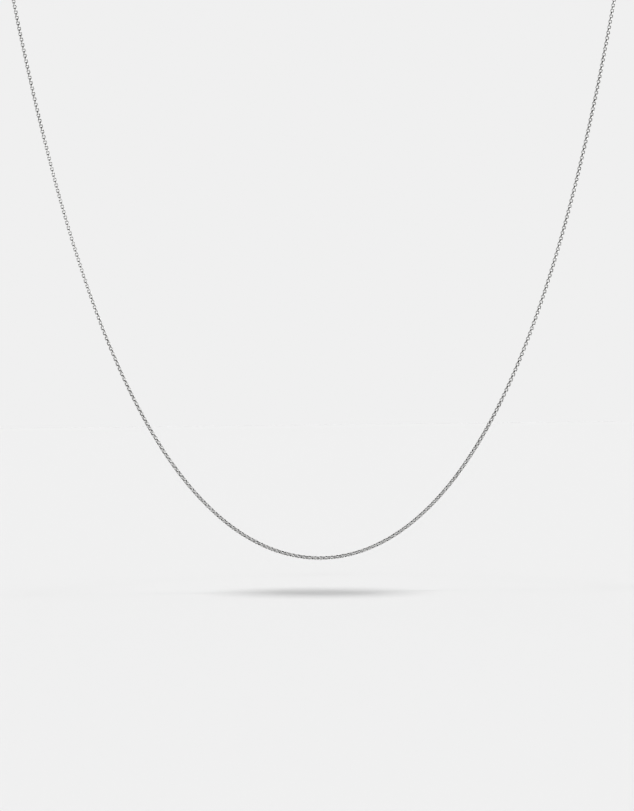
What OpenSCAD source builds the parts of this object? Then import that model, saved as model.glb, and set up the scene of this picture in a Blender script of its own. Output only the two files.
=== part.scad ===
// A box chain necklace, closed round a neck. The front hangs free as a catenary in an upright
// plane, and from the shoulders the chain goes back round the neck to a bolt ring at the nape.
// Millimetres, +Z up, the wearer's front towards -Y. The origin is the middle of the closure.

/* [Chain] */
// Length once round the closed necklace, its clasp included
necklace_len = 600; // [560:5:760]
// Width of the chain across two opposite sides
chain_w = 0.92; // [0.86:0.02:1.4]
// Room round the links of the chain, for their play
link_room = 0.05; // [0:0.01:0.08]
// Width of the flat strip that every link is bent from
strip_w = 0.4; // [0.3:0.02:0.6]
// Thickness of that strip
strip_t = 0.18; // [0.12:0.01:0.22]
// Outside radius of the bends at a link's corners
bend_r = 0.4; // [0.25:0.01:0.45]

/* [Neck] */
// Distance between the strands where they come over the shoulders
shoulder_w = 152; // [135:1:170]
// Depth from the nape forward to the plane that the front hangs in
neck_depth = 73; // [50:1:90]
// Height of the nape above the place where the front starts to hang
nape_rise = 32; // [22:1:45]

/* [Closure] */
// Outer diameter of the bolt ring
clasp_d = 5.6; // [5:0.1:8]
// Diameter of the tube that the bolt ring is bent from
clasp_tube_d = 1.2; // [1:0.1:1.5]
// Diameter of the bolt that slides in that tube, seen across the ring's mouth
bolt_d = 0.8; // [0.5:0.05:0.9]
// Angle of the ring's mouth
mouth_angle = 42; // [25:1:60]
// Diameter of the thumb knob on the bolt
knob_d = 0.7; // [0.5:0.05:0.9]
// Height of the knob above the tube
knob_h = 0.55; // [0.3:0.05:0.9]
// Diameter of the wire of the bolt ring's eye
eye_wire_d = 0.5; // [0.4:0.05:0.7]
// Outer diameter of the rings at the two ends of the chain
ring_d = 3.6; // [3.3:0.1:5]
// Diameter of the wire of those rings
ring_wire_d = 0.45; // [0.35:0.05:0.55]
// Clearance between pieces that pass through each other
link_gap = 0.15; // [0.1:0.01:0.18]
// Play between two links
link_play = 0.02; // [0:0.01:0.05]

/* [Hidden] */

$fn = 48;

// The two rings lie level and the bolt ring and end links stand upright, so that each passes
// through the next. Places along the closure are from the middle of the bolt ring.
ring_r = (ring_d - ring_wire_d) / 2;
clasp_r = (clasp_d - clasp_tube_d) / 2;
eye_bore_r = ring_wire_d / 2 + link_gap;
eye_r = eye_bore_r + eye_wire_d / 2;
eye_seam = 0.1;
eye_x = clasp_d / 2 + eye_seam + eye_bore_r;
clasp_ring_x = eye_x + ring_r;
catch_ring_x = -(clasp_r - clasp_tube_d / 2 - link_gap - ring_wire_d / 2) - ring_r;

// An end link's inner bar sits in its ring, as far out as its corners may come
ring_hollow_r = ring_d / 2 - ring_wire_d - link_gap;
end_bar_x = sqrt(pow(ring_hollow_r, 2) - pow(strip_w / 2, 2));
end_hollow_l = ring_d / 2 - end_bar_x + link_gap + strip_t + link_play;
end_hollow_w = ring_wire_d + 2 * link_gap;
end_reach = end_bar_x + end_hollow_l + strip_t + link_gap;

// The whole closure is centred on the origin, and the chain starts at either end of it
closure_half = (clasp_ring_x - catch_ring_x) / 2 + end_reach;
clasp_x = -(clasp_ring_x + catch_ring_x) / 2;

half_span = shoulder_w / 2;
// Share of the half span over which the chain leaves the nape before it bends forward
nape_share = 0.6;
// Rings of the chain's tube along the hanging front, and along each side of the neck
hang_rings = 42;
neck_rings = 24;

function sinh(x) = (exp(x) - exp(-x)) / 2;
function cosh(x) = (exp(x) + exp(-x)) / 2;
function total(list) = list * [for (item = list) 1];

// The front is the catenary z = a cosh(x / a), and q is its half span over a
function hang_a(q) = half_span / q;
function hang_len(q) = 2 * hang_a(q) * sinh(q);

// Each side of the neck is one cubic from the shoulder, along the front's own tangent, to the nape
function neck_handles(q) = let (shoulder = [half_span, -neck_depth, -nape_rise])
    [
        shoulder,
        shoulder + nape_rise * [1 / sinh(q), 0, 1],
        [closure_half + nape_share * (half_span - closure_half), 0, 0],
        [closure_half, 0, 0]
    ];
function on_cubic(p, t) =
    [pow(1 - t, 3), 3 * pow(1 - t, 2) * t, 3 * (1 - t) * pow(t, 2), pow(t, 3)] * p;
function along_cubic(p, t) =
    [pow(1 - t, 2), 2 * (1 - t) * t, pow(t, 2)] * [for (i = [0 : 2]) p[i + 1] - p[i]];
function neck_len(q) = let (p = neck_handles(q), n = 2 * neck_rings)
    total([for (i = [1 : n]) norm(on_cubic(p, i / n) - on_cubic(p, (i - 1) / n))]);

// The catenary takes what the neck and the closure leave of the length, found by halving
function loop_len(q) = hang_len(q) + 2 * neck_len(q) + 2 * closure_half;
function hang_q(low = 0.8, high = 5, steps = 40) = let (middle = (low + high) / 2)
    steps == 0 ? middle
    : loop_len(middle) > necklace_len ? hang_q(low, middle, steps - 1)
    : hang_q(middle, high, steps - 1);

function unit(v) = v / norm(v);
function mirrored(v) = [-v.x, v.y, v.z];

// A station is [place, direction of travel, direction that the chain's front side faces]. The
// route runs from the closure's left end round the front to its right end.
function hang_station(q, u) =
    [
        [hang_a(q) * u, -neck_depth, -nape_rise - hang_a(q) * (cosh(q) - cosh(u))],
        unit([1, 0, sinh(u)]),
        [0, -1, 0]
    ];
function neck_station(q, t) = let (p = neck_handles(q), along = unit(along_cubic(p, t)))
    [on_cubic(p, t), along, t == 1 ? [0, 0, 1] : unit([0, -along.z, along.y])];
function left_of(station) = [mirrored(station[0]), -mirrored(station[1]), station[2]];
function route(q) =
    [
        for (i = [neck_rings : -1 : 1]) left_of(neck_station(q, i / neck_rings)),
        for (i = [0 : hang_rings]) hang_station(q, q * (2 * i / hang_rings - 1)),
        for (i = [1 : neck_rings]) neck_station(q, i / neck_rings)
    ];

// The outline that box links at right angles to each other fill: a square without its corners
function link_outline() = let (a = chain_w / 2 + link_room, b = strip_w / 2 + link_room)
    [[a, b], [b, a], [-b, a], [-a, b], [-a, -b], [-b, -a], [b, -a], [a, -b]];

function ring_points(station, outline) = let (side = cross(station[1], station[2]))
    [for (p = outline) station[0] + p.x * station[2] + p.y * side];

// A solid of this outline, swept along stations
module sweep(stations, outline) {
    n = len(outline);
    last = len(stations) - 1;
    walls = [
        for (i = [0 : last - 1], j = [0 : n - 1])
            [i * n + j, (i + 1) * n + j, (i + 1) * n + (j + 1) % n, i * n + (j + 1) % n]
    ];
    polyhedron(
        points = [for (s = stations) each ring_points(s, outline)],
        faces = concat(
            walls,
            [[for (j = [0 : n - 1]) j]],
            [[for (j = [n - 1 : -1 : 0]) last * n + j]]
        ),
        convexity = 10
    );
}

// A rectangle whose corners are arcs
module rounded_box(length, width, radius) {
    square([length - 2 * radius, width], center = true);
    square([length, width - 2 * radius], center = true);
    for (x = [-1, 1], y = [-1, 1])
        translate([x * (length / 2 - radius), y * (width / 2 - radius)])
            circle(r = radius);
}

// A ring of round wire, or an arc of one from the X axis
module wire_ring(radius, wire_d, angle = 360) {
    rotate_extrude(angle = angle)
        translate([radius, 0])
            circle(d = wire_d);
}

// The chain, as the room that its links fill
module chain() {
    color("silver")
        sweep(route(hang_q()), link_outline());
}

// The last link of the chain, long enough to take its ring's wire. It stands upright.
module end_link() {
    color("silver")
        rotate([90, 0, 0])
            linear_extrude(strip_w, center = true)
                difference() {
                    rounded_box(end_hollow_l + 2 * strip_t, end_hollow_w + 2 * strip_t, bend_r);
                    rounded_box(end_hollow_l, end_hollow_w, bend_r - strip_t);
                }
}

module end_link_left() {
    translate([clasp_x + catch_ring_x - end_bar_x - end_hollow_l / 2, 0, 0])
        end_link();
}

module end_link_right() {
    translate([clasp_x + clasp_ring_x + end_bar_x + end_hollow_l / 2, 0, 0])
        end_link();
}

// The closed ring that the bolt ring hooks on
module catch_ring() {
    color("silver")
        translate([clasp_x + catch_ring_x, 0, 0])
            wire_ring(ring_r, ring_wire_d);
}

// The ring that joins the bolt ring's eye to the chain
module clasp_ring() {
    color("silver")
        translate([clasp_x + clasp_ring_x, 0, 0])
            wire_ring(ring_r, ring_wire_d);
}

// The bolt ring: a bent tube whose mouth is closed by its bolt, with a thumb knob and an eye
module clasp() {
    mouth_start = 98;
    knob_angle = mouth_start - 14;
    knob_root = 0.25;
    color("silver")
        translate([clasp_x, 0, 0])
            rotate([90, 0, 0]) {
                rotate(mouth_start + mouth_angle)
                    wire_ring(clasp_r, clasp_tube_d, 360 - mouth_angle);
                rotate(mouth_start - 1)
                    wire_ring(clasp_r, bolt_d, mouth_angle + 2);
                rotate(knob_angle)
                    translate([clasp_d / 2 - knob_root, 0, 0])
                        rotate([0, 90, 0])
                            cylinder(d = knob_d, h = knob_root + knob_h);
                translate([eye_x, 0, 0])
                    wire_ring(eye_r, eye_wire_d);
            }
}

chain();
end_link_left();
end_link_right();
catch_ring();
clasp_ring();
clasp();
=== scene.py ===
import math

import bpy
import numpy as np
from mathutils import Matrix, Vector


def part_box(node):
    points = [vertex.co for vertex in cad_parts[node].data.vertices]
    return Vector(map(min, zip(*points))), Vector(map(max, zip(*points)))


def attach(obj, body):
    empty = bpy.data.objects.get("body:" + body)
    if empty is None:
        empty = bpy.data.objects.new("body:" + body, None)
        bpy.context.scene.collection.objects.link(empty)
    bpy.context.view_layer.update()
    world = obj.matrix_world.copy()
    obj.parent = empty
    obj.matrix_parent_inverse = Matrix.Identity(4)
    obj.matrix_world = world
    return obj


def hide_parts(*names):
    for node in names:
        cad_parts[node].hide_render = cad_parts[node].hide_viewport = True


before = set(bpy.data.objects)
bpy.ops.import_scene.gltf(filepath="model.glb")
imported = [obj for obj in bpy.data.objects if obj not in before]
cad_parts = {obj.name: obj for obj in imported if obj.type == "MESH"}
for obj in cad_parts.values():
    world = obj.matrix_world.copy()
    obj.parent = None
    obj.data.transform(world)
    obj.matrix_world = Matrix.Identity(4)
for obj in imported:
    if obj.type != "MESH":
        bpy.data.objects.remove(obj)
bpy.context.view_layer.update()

# Box chain
# One strand of some 840 links, each a flat silver strip that is bent round into a box, threaded
# through the last one at right angles and soldered shut. It is woven by machine and polished in a
# drum, so its outside is bright. The inside of each link is painted nearly black as shade, and is
# left a little rougher.

MM = 0.001
chain_width = 0.92 * MM
strip_width = 0.4 * MM
strip_thickness = 0.18 * MM
bend_radius = 0.4 * MM
link_play = 0.02 * MM
wanted_pitch = 0.695 * MM
# Room that the CAD tube leaves round the links for their play
link_room = 0.05 * MM
# Clearance between pieces that pass through each other
link_gap = 0.15 * MM

# The closed necklace hangs as it does when worn: a free catenary in front, and from the shoulders
# one smooth sweep a side round the neck to the closure. It is as long as the CAD tube it replaces.
shoulder_width = 152 * MM
nape_rise = 32 * MM
# Share of the half span over which the chain leaves the nape before it bends forward
nape_share = 0.6

tube_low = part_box("chain")[0]
front_y = tube_low.y + chain_width / 2 + link_room
bottom_z = tube_low.z + chain_width / 2 + link_room
route_ends = (
    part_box("end_link_left")[0].x - link_gap,
    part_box("end_link_right")[1].x + link_gap,
)
half_span = shoulder_width / 2


def halved(rising, wanted, low, high, halvings=60):
    """Where between low and high a rising function comes to the wanted value."""
    for _ in range(halvings):
        middle = (low + high) / 2
        if rising(middle) < wanted:
            low = middle
        else:
            high = middle
    return low


def units(vectors):
    return vectors / np.linalg.norm(vectors, axis=1)[:, None]


# The catenary is z = a cosh(x / a), and span_in_a is its half span over a
drop = -nape_rise - bottom_z
span_in_a = halved(lambda q: (math.cosh(q) - 1) / q, drop / half_span, low=0.5, high=5)
catenary_a = half_span / span_in_a
# Points that are worked out along each half of the front, and along each side of the neck
curve_points = 800


def hanging_half():
    """Places, directions and facings up one side of the front, from its lowest place."""
    u = np.linspace(0, span_in_a, curve_points)
    level = np.zeros(curve_points)
    places = np.stack(
        [catenary_a * u, level + front_y, bottom_z + catenary_a * (np.cosh(u) - 1)], 1
    )
    along = units(np.stack([level + 1, level, np.sinh(u)], 1))
    return places, along, np.tile([0.0, -1.0, 0.0], (curve_points, 1))


def neck_half(end_x):
    """Places, directions and facings from a shoulder round the neck to the closure at end_x."""
    shoulder = np.array([half_span, front_y, -nape_rise])
    handles = np.array(
        [
            shoulder,
            shoulder + nape_rise * np.array([1 / math.sinh(span_in_a), 0, 1]),
            [end_x + nape_share * (half_span - end_x), 0, 0],
            [end_x, 0, 0],
        ]
    )
    t = np.linspace(0, 1, curve_points)
    s = 1 - t
    places = np.stack([s**3, 3 * s**2 * t, 3 * s * t**2, t**3], 1) @ handles
    along = units(np.stack([s**2, 2 * s * t, t**2], 1) @ np.diff(handles, axis=0))
    facing = np.stack([np.zeros(curve_points), -along[:, 2], along[:, 1]], 1)
    facing[-1] = [0, 0, 1]
    return places, along, units(facing)


def half_route(end_x):
    """One side of the route, from the lowest place of the front to the closure."""
    parts = zip(hanging_half(), neck_half(end_x))
    return [np.concatenate([front, neck[1:]]) for front, neck in parts]


right_half = half_route(route_ends[1])
left_half = [part * [-1, 1, 1] for part in half_route(-route_ends[0])]
# The left side is run through towards the lowest place, so it goes the other way
left_half[1] = -left_half[1]
route_places, route_along, route_facing = (
    np.concatenate([left[:0:-1], right]) for left, right in zip(left_half, right_half)
)
route_steps = np.linalg.norm(np.diff(route_places, axis=0), axis=1)
route_at = np.concatenate([[0], np.cumsum(route_steps)])
route_length = route_at[-1]

# Both end links stand upright, so the first and last small links lie level: an even number of steps
link_steps = 2 * round(route_length / wanted_pitch / 2)
# The first link's outer bar lies in the end link's hollow, with a link's usual play
first_link_at = wanted_pitch / 2 - strip_thickness - link_gap - link_play / 2
link_pitch = (route_length - 2 * first_link_at) / link_steps
link_length = link_pitch + 2 * strip_thickness + link_play

# Turn of the chain about itself, in degrees, by the share of its length from the left end
chain_turns = [
    (0.0, 0),
    (0.2, 0),
    (0.22, -15),
    (0.265, -15),
    (0.29, 0),
    (0.33, 3),
    (0.36, 14),
    (0.41, 34),
    (0.44, 45),
    (0.5, 50),
    (0.53, 42),
    (0.585, 38),
    (0.61, 20),
    (0.64, 11),
    (0.7, 14),
    (0.75, 15),
    (0.775, 9),
    (0.795, 0),
    (1.0, 0),
]
# Most that a link stands off the run of the chain, in degrees, and the seed of its chance
link_wander = 0.5
link_seed = 7
# Flats round each bend of a link, and points round the strip's section
bend_steps = 3
section_points = 6
# How much of the strip's width is flat before its tumbled edge
strip_flat = 0.8
# How far a face looks away from the link's middle where the painted shade inside a link begins,
# and where it is all dark
inside_shade_start = 0.2
dark_begins = -0.6


def new_node(tree, kind, inputs=None, **settings):
    """A node of a tree, with its settings made and its inputs set or joined to other sockets."""
    made = tree.nodes.new(kind)
    for name, value in settings.items():
        setattr(made, name, value)
    for name, value in (inputs or {}).items():
        if isinstance(value, bpy.types.NodeSocket):
            tree.links.new(value, made.inputs[name])
        else:
            made.inputs[name].default_value = value
    return made


def new_tree(name, inputs):
    """A Geometry Nodes tree with these named inputs, and its input and output nodes."""
    tree = bpy.data.node_groups.new(name, "GeometryNodeTree")
    for label, kind in [("Geometry", "NodeSocketGeometry"), *inputs]:
        tree.interface.new_socket(label, in_out="INPUT", socket_type=kind)
    tree.interface.new_socket("Geometry", in_out="OUTPUT", socket_type="NodeSocketGeometry")
    return tree, tree.nodes.new("NodeGroupInput").outputs, tree.nodes.new("NodeGroupOutput")


def math_of(tree, operation, a, b=0.0):
    return new_node(tree, "ShaderNodeMath", {0: a, 1: b}, operation=operation).outputs[0]


def strip_section(tree, thickness, width, flat):
    """The strip's section, six points round: its thickness lies in X and its width in Y."""
    circle = new_node(
        tree, "GeometryNodeCurvePrimitiveCircle", {"Resolution": section_points, "Radius": 1.0}
    )
    place = tree.nodes.new("GeometryNodeInputPosition").outputs[0]
    part = new_node(tree, "ShaderNodeSeparateXYZ", {0: place}).outputs
    # Of the circle's points, two lie on the strip's edges and the four at 1 / 2 bound its faces
    beyond = math_of(tree, "SUBTRACT", math_of(tree, "ABSOLUTE", part["X"]), 0.5)
    edge_share = math_of(tree, "MULTIPLY", beyond, 2.0)
    edge_reach = math_of(tree, "SUBTRACT", 1.0, flat)
    reach = math_of(tree, "ADD", flat, math_of(tree, "MULTIPLY", edge_share, edge_reach))
    wide = math_of(tree, "MULTIPLY", math_of(tree, "SIGN", part["X"]), reach)
    half_width = math_of(tree, "MULTIPLY", width, 0.5)
    # Those four stand off by the sine of 60 degrees, and the minus sign makes the faces point out
    half_thickness = math_of(tree, "MULTIPLY", thickness, -0.5 / math.sin(math.radians(60)))
    moved = new_node(
        tree,
        "ShaderNodeCombineXYZ",
        {
            "X": math_of(tree, "MULTIPLY", part["Y"], half_thickness),
            "Y": math_of(tree, "MULTIPLY", wide, half_width),
        },
    )
    return new_node(
        tree,
        "GeometryNodeSetPosition",
        {"Geometry": circle.outputs["Curve"], "Position": moved.outputs[0]},
    ).outputs[0]


def link_mesh(tree, given):
    """One box link about its own centre, lying level and running along X."""
    thickness = given["Strip Thickness"]
    box = new_node(
        tree,
        "GeometryNodeCurvePrimitiveQuadrilateral",
        {
            "Width": math_of(tree, "SUBTRACT", given["Link Length"], thickness),
            "Height": math_of(tree, "SUBTRACT", given["Link Width"], thickness),
        },
    )
    half_thickness = math_of(tree, "MULTIPLY", thickness, 0.5)
    bent = new_node(
        tree,
        "GeometryNodeFilletCurve",
        {
            "Curve": box.outputs[0],
            "Count": given["Bend Steps"],
            "Radius": math_of(tree, "SUBTRACT", given["Bend Radius"], half_thickness),
        },
        mode="POLY",
    )
    section = strip_section(tree, thickness, given["Strip Width"], given["Strip Flat"])
    link = new_node(
        tree, "GeometryNodeCurveToMesh", {"Curve": bent.outputs[0], "Profile Curve": section}
    )
    smooth = new_node(tree, "GeometryNodeSetShadeSmooth", {"Geometry": link.outputs[0]})
    # The inside of a link, which faces its own middle, is marked for painted shade and a duller
    # finish
    place = tree.nodes.new("GeometryNodeInputPosition").outputs[0]
    outward = new_node(tree, "ShaderNodeVectorMath", {0: place}, operation="NORMALIZE")
    normal = tree.nodes.new("GeometryNodeInputNormal").outputs[0]
    facing_out = new_node(
        tree, "ShaderNodeVectorMath", {0: outward.outputs[0], 1: normal}, operation="DOT_PRODUCT"
    )
    # Painted shade: the more a face turns in to the link's middle, the darker its silver is painted
    # and the rougher it is
    inside = new_node(
        tree,
        "ShaderNodeMapRange",
        {
            "Value": facing_out.outputs["Value"],
            "From Min": inside_shade_start,
            "From Max": dark_begins,
        },
    )
    return new_node(
        tree,
        "GeometryNodeStoreNamedAttribute",
        {"Geometry": smooth.outputs[0], "Name": "inside", "Value": inside.outputs["Result"]},
        data_type="FLOAT",
        domain="POINT",
    ).outputs[0]


def scaled(tree, vector, share):
    made = new_node(tree, "ShaderNodeVectorMath", {0: vector}, operation="SCALE")
    tree.links.new(share, made.inputs["Scale"])
    return made.outputs[0]


def box_link_tree():
    """Box links along a route, each a quarter turn from the last."""
    tree, given, out = new_tree(
        "box links",
        [
            ("Links", "NodeSocketInt"),
            ("Link Length", "NodeSocketFloat"),
            ("Link Width", "NodeSocketFloat"),
            ("Strip Width", "NodeSocketFloat"),
            ("Strip Thickness", "NodeSocketFloat"),
            ("Strip Flat", "NodeSocketFloat"),
            ("Bend Radius", "NodeSocketFloat"),
            ("Bend Steps", "NodeSocketInt"),
            ("Wander", "NodeSocketFloat"),
            ("Seed", "NodeSocketInt"),
            ("Material", "NodeSocketMaterial"),
        ],
    )
    route = new_node(tree, "GeometryNodeMeshToCurve", {"Mesh": given["Geometry"]})
    spots = new_node(
        tree,
        "GeometryNodeCurveToPoints",
        {"Curve": route.outputs[0], "Count": given["Links"]},
        mode="COUNT",
    )
    facing = new_node(
        tree, "GeometryNodeInputNamedAttribute", {"Name": "facing"}, data_type="FLOAT_VECTOR"
    )
    run = new_node(
        tree,
        "FunctionNodeAlignRotationToVector",
        {"Vector": spots.outputs["Tangent"]},
        axis="X",
    )
    faced = new_node(
        tree,
        "FunctionNodeAlignRotationToVector",
        {"Rotation": run.outputs[0], "Vector": facing.outputs["Attribute"]},
        axis="Z",
        pivot_axis="X",
    )
    number = tree.nodes.new("GeometryNodeInputIndex").outputs[0]
    turn = math_of(tree, "MULTIPLY", math_of(tree, "MODULO", number, 2.0), math.radians(90))
    quarter = new_node(
        tree, "FunctionNodeAxisAngleToRotation", {"Axis": (1, 0, 0), "Angle": turn}
    )
    crossed = new_node(
        tree,
        "FunctionNodeRotateRotation",
        {"Rotation": faced.outputs[0], "Rotate By": quarter.outputs[0]},
        rotation_space="LOCAL",
    )
    wander = new_node(
        tree,
        "FunctionNodeRandomValue",
        {
            "Min": scaled(tree, (-1, -1, -1), given["Wander"]),
            "Max": scaled(tree, (1, 1, 1), given["Wander"]),
            "Seed": given["Seed"],
        },
        data_type="FLOAT_VECTOR",
    )
    astray = new_node(tree, "FunctionNodeEulerToRotation", {0: wander.outputs["Value"]})
    loose = new_node(
        tree,
        "FunctionNodeRotateRotation",
        {"Rotation": crossed.outputs[0], "Rotate By": astray.outputs[0]},
        rotation_space="LOCAL",
    )
    placed = new_node(
        tree,
        "GeometryNodeInstanceOnPoints",
        {
            "Points": spots.outputs["Points"],
            "Instance": link_mesh(tree, given),
            "Rotation": loose.outputs[0],
        },
    )
    real = new_node(tree, "GeometryNodeRealizeInstances", {"Geometry": placed.outputs[0]})
    finished = new_node(
        tree,
        "GeometryNodeSetMaterial",
        {"Geometry": real.outputs[0], "Material": given["Material"]},
    )
    tree.links.new(finished.outputs[0], out.inputs[0])
    return tree


def turned(facing, along, degrees):
    """Facings turned about the run of the chain."""
    angle = np.radians(degrees)[:, None]
    return facing * np.cos(angle) + np.cross(along, facing) * np.sin(angle)


def route_mesh(name):
    """The run of the link centres as a mesh of edges, with the way that the chain faces."""
    turns = np.array(chain_turns, float)
    inner = (route_at > first_link_at) & (route_at < route_length - first_link_at)
    at = np.concatenate([[first_link_at], route_at[inner], [route_length - first_link_at]])
    shares = at / route_length
    places, along, facing = (
        np.stack([np.interp(at, route_at, part[:, axis]) for axis in range(3)], 1)
        for part in (route_places, route_along, route_facing)
    )
    facing = turned(facing, along, np.interp(shares, turns[:, 0], turns[:, 1]))
    mesh = bpy.data.meshes.new(name)
    edges = [(i, i + 1) for i in range(len(at) - 1)]
    mesh.from_pydata(places.tolist(), edges, [])
    attribute = mesh.attributes.new("facing", "FLOAT_VECTOR", "POINT")
    attribute.data.foreach_set("vector", facing.astype(np.float32).ravel())
    return mesh


def grown(name, mesh, tree, values):
    """A plain mesh object of what a Geometry Nodes tree makes of a mesh."""
    seed = bpy.data.objects.new(name + "_route", mesh)
    bpy.context.scene.collection.objects.link(seed)
    modifier = seed.modifiers.new("nodes", "NODES")
    modifier.node_group = tree
    sockets = {s.name: s.identifier for s in tree.interface.items_tree if s.in_out == "INPUT"}
    for label, value in values.items():
        modifier[sockets[label]] = value
    graph = bpy.context.evaluated_depsgraph_get()
    result = bpy.data.meshes.new_from_object(seed.evaluated_get(graph))
    result.name = name
    seed.modifiers.remove(modifier)
    bpy.data.objects.remove(seed)
    made = bpy.data.objects.new(name, result)
    bpy.context.scene.collection.objects.link(made)
    return made


# Colours of bright silver, of silver with a breath of tarnish, and the painted shade, nearly
# black, on the inside of each link
bright_silver = (0.87, 0.87, 0.86, 1)
tarnished_silver = (0.62, 0.61, 0.59, 1)
inside_painted_shade = (0.12, 0.118, 0.115, 1)
# Sizes of the patches of tarnish and haze and of the scratches, as how many there are to the metre
tarnish_per_metre = 260
haze_per_metre = 1500
scratches_per_metre = 14000
# Most tarnish in a patch, how far haze makes the roughness vary, and how much rougher the inside is
tarnish_patches = 0.3
haze_share = 0.1
dull_inside = 0.2
# Where a noise texture is taken as its lowest and its highest
noise_low = 0.35
noise_high = 0.65


def clouds(tree, per_metre, detail, low, high):
    """Soft random shading in object space, from low to high."""
    place = tree.nodes.new("ShaderNodeTexCoord").outputs["Object"]
    noise = new_node(
        tree, "ShaderNodeTexNoise", {"Vector": place, "Scale": per_metre, "Detail": detail}
    )
    return new_node(
        tree,
        "ShaderNodeMapRange",
        {
            "Value": noise.outputs["Fac"],
            "From Min": noise_low,
            "From Max": noise_high,
            "To Min": low,
            "To Max": high,
        },
    ).outputs["Result"]


def colour_between(tree, share, first, second):
    return new_node(
        tree,
        "ShaderNodeMix",
        {0: share, 6: first, 7: second},
        data_type="RGBA",
        clamp_factor=True,
    ).outputs[2]


def polished_silver(name, roughness, scratch_depth):
    """Silver from the polishing drum: bright and finely scratched, with painted shade on the inside
    of each link.
    """
    material = bpy.data.materials.new(name)
    material.use_nodes = True
    tree = material.node_tree
    shader = tree.nodes["Principled BSDF"]
    shader.inputs["Metallic"].default_value = 1.0
    patches = clouds(tree, tarnish_per_metre, detail=3, low=0.0, high=tarnish_patches)
    outside_silver = colour_between(tree, patches, bright_silver, tarnished_silver)
    inside = new_node(tree, "ShaderNodeAttribute", attribute_name="inside").outputs["Fac"]
    # The inside of each link is painted a near black as shade, in place of its silver
    colour = colour_between(tree, inside, outside_silver, inside_painted_shade)
    tree.links.new(colour, shader.inputs["Base Color"])
    haze = clouds(
        tree,
        haze_per_metre,
        detail=2,
        low=(1 - haze_share) * roughness,
        high=(1 + haze_share) * roughness,
    )
    dull = math_of(tree, "ADD", haze, math_of(tree, "MULTIPLY", inside, dull_inside))
    tree.links.new(dull, shader.inputs["Roughness"])
    bump = new_node(
        tree,
        "ShaderNodeBump",
        {
            "Height": clouds(tree, scratches_per_metre, detail=4, low=0.0, high=1.0),
            "Distance": scratch_depth,
            "Strength": 1.0,
        },
    )
    tree.links.new(bump.outputs[0], shader.inputs["Normal"])
    return material


chain_silver = polished_silver("chain silver", roughness=0.31, scratch_depth=0.002 * MM)
links = grown(
    "box_links",
    route_mesh("chain route"),
    box_link_tree(),
    {
        "Links": link_steps + 1,
        "Link Length": link_length,
        "Link Width": chain_width,
        "Strip Width": strip_width,
        "Strip Thickness": strip_thickness,
        "Strip Flat": strip_flat,
        "Bend Radius": bend_radius,
        "Bend Steps": bend_steps,
        "Wander": math.radians(link_wander),
        "Seed": link_seed,
        "Material": chain_silver,
    },
)
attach(links, "root")
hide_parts("chain")

# End links
# The last link at either end is longer, and takes a ring as well as the link before it. It is bent
# from the chain's own silver strip, soldered shut by hand and polished with the chain.


def finished(node_name, material):
    """A CAD node that keeps its shape and takes this material."""
    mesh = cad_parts[node_name].data
    mesh.materials.clear()
    mesh.materials.append(material)


for end_link in ("end_link_left", "end_link_right"):
    finished(end_link, chain_silver)

# Rings
# Two rings of round silver wire, soldered shut. One takes the bolt, and the other joins the bolt
# ring's eye to the chain. They are buffed one by one, so they shine more than the chain does.

closure_silver = polished_silver("closure silver", roughness=0.13, scratch_depth=0.001 * MM)
for ring in ("catch_ring", "clasp_ring"):
    finished(ring, closure_silver)

# Bolt ring
# The clasp is a silver tube bent round, with a sprung bolt in it that a thumb knob draws back, and
# with an eye of wire soldered on. It comes ready made, and it is buffed like the rings.

finished("clasp", closure_silver)

# Floor
# A sheet of matt white paper, just under the lowest place of the chain. It lies loose, and reaches
# farther than the camera sees. The silver doesn't mirror it.

floor_gap = 8 * MM
# How far the sheet reaches each way, in metres
floor_reach = 6.0
floor_z = bottom_z - chain_width / 2 - floor_gap
floor_shade = 0.8


def flat_sheet(name, rim, height):
    """A level sheet with this rim, its face up."""
    mesh = bpy.data.meshes.new(name)
    mesh.from_pydata([(x, y, height) for x, y in rim], [], [tuple(range(len(rim)))])
    sheet = bpy.data.objects.new(name, mesh)
    bpy.context.scene.collection.objects.link(sheet)
    return sheet


def matt_paper(name, shade):
    material = bpy.data.materials.new(name)
    material.use_nodes = True
    shader = material.node_tree.nodes["Principled BSDF"]
    shader.inputs["Base Color"].default_value = (shade, shade, shade, 1)
    shader.inputs["Roughness"].default_value = 1.0
    shader.inputs["Specular IOR Level"].default_value = 0.0
    return material


floor_corners = [(-1, -1), (1, -1), (1, 1), (-1, 1)]
floor = flat_sheet("floor", [(x * floor_reach, y * floor_reach) for x, y in floor_corners], floor_z)
floor.data.materials.append(matt_paper("white paper", floor_shade))
floor.visible_glossy = False

# Studio light
# A pale backdrop, softboxes round the chain that its silver mirrors, and two lamps overhead for the
# floor alone. A small oval card under the sharper lamp casts the soft shade below the chain.

backdrop_shade = 0.871
# Where each softbox stands, as a direction, and how strong it is
softboxes = [
    ((-0.8, -0.55, -0.25), 2.0),
    ((0.05, 0.85, -0.55), 1.5),
    ((0.95, -0.3, 0.15), 1.5),
    ((0.7, -0.6, -0.35), 1.25),
    ((-0.2, 0.6, 0.75), 1.05),
    ((0.25, 0.95, 0.0), 1.0),
    ((0.35, 0.8, 0.5), 0.9),
    ((0.2, -0.4, -0.9), 0.4),
    ((-0.7, 0.75, -0.1), 0.4),
]
# Degrees from a softbox's middle to which it is full, and at which it has faded to nothing
softbox_full = 6
softbox_faded = 42


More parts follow.
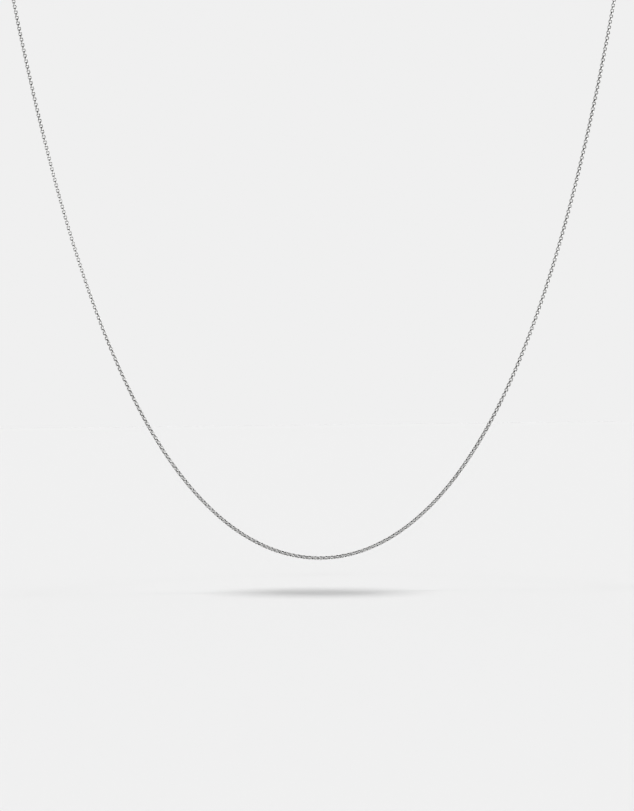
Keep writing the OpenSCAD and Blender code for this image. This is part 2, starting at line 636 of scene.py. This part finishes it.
def studio_world():
    """The softboxes as the silver mirrors them, and one pale shade as the camera sees them."""
    world = bpy.data.worlds.new("studio")
    world.use_nodes = True
    tree = world.node_tree
    view = tree.nodes.new("ShaderNodeTexCoord").outputs["Generated"]
    total = 0.0
    for direction, strength in softboxes:
        cosine = new_node(
            tree,
            "ShaderNodeVectorMath",
            {0: view, 1: units(np.array([direction]))[0]},
            operation="DOT_PRODUCT",
        )
        lit = new_node(
            tree,
            "ShaderNodeMapRange",
            {
                "Value": cosine.outputs["Value"],
                "From Min": math.cos(math.radians(softbox_faded)),
                "From Max": math.cos(math.radians(softbox_full)),
                "To Max": strength,
            },
            interpolation_type="SMOOTHSTEP",
        )
        total = math_of(tree, "ADD", lit.outputs["Result"], total)
    seen = tree.nodes.new("ShaderNodeLightPath").outputs["Is Camera Ray"]
    shade = new_node(
        tree, "ShaderNodeMix", {0: seen, 2: total, 3: backdrop_shade}, data_type="FLOAT"
    )
    tree.links.new(shade.outputs[0], tree.nodes["Background"].inputs["Color"])
    return world


def overhead_lamp(name, energy, spread):
    """A lamp straight above that lights the floor, and that the silver doesn't mirror."""
    data = bpy.data.lights.new(name, "SUN")
    data.energy = energy
    data.angle = math.radians(spread)
    lamp = bpy.data.objects.new(name, data)
    lamp.visible_glossy = False
    bpy.context.scene.collection.objects.link(lamp)


bpy.context.scene.world = studio_world()
overhead_lamp("sharp lamp", energy=1.16, spread=5)
overhead_lamp("soft lamp", energy=0.905, spread=120)

card_length = 42 * MM
card_width = 28 * MM
# Degrees that the card is turned, so that its shade lies level in the rolled picture
card_turn = -21
card_points = 48
card_shade = 0.03
card_over_floor = 265 * MM
card_x = -0.8 * MM
# How far the card's middle lies in front of the chain
card_forward = 2.9 * MM


def card_rim():
    """The outline of the oval card, as places on the level."""
    turn_cos = math.cos(math.radians(card_turn))
    turn_sin = math.sin(math.radians(card_turn))
    rim = []
    for angle in np.linspace(0, 2 * math.pi, card_points, endpoint=False):
        along = card_length / 2 * math.cos(angle)
        across = card_width / 2 * math.sin(angle)
        x = card_x + along * turn_cos - across * turn_sin
        y = front_y - card_forward + along * turn_sin + across * turn_cos
        rim.append((x, y))
    return rim


card = flat_sheet("oval_card", card_rim(), floor_z + card_over_floor)
card.data.materials.append(matt_paper("black card", card_shade))
card.visible_camera = False
card.visible_glossy = False

# Camera
# As far off as a small product is photographed from, level with the lower part of the chain and
# rolled a little, as the photograph is.

photo_height = 811
# Size at the chain of one of the photograph's pixels
pixel = 0.25 * MM
camera_distance = 700 * MM
# Degrees that the camera is rolled
camera_roll = 0.668
# Where the middle of the picture lies, from the chain's own middle and up from its lowest place
picture_middle_x = -0.53 * MM
picture_middle_up = 38.14 * MM
camera_data = bpy.data.cameras.new("camera")
camera_data.lens = camera_data.sensor_width * camera_distance / (photo_height * pixel)
camera = bpy.data.objects.new("camera", camera_data)
camera.location = (picture_middle_x, front_y - camera_distance, bottom_z + picture_middle_up)
camera.rotation_euler = (math.radians(90), math.radians(camera_roll), 0)
bpy.context.scene.collection.objects.link(camera)
bpy.context.scene.camera = camera
bpy.context.scene.view_settings.view_transform = "Standard"
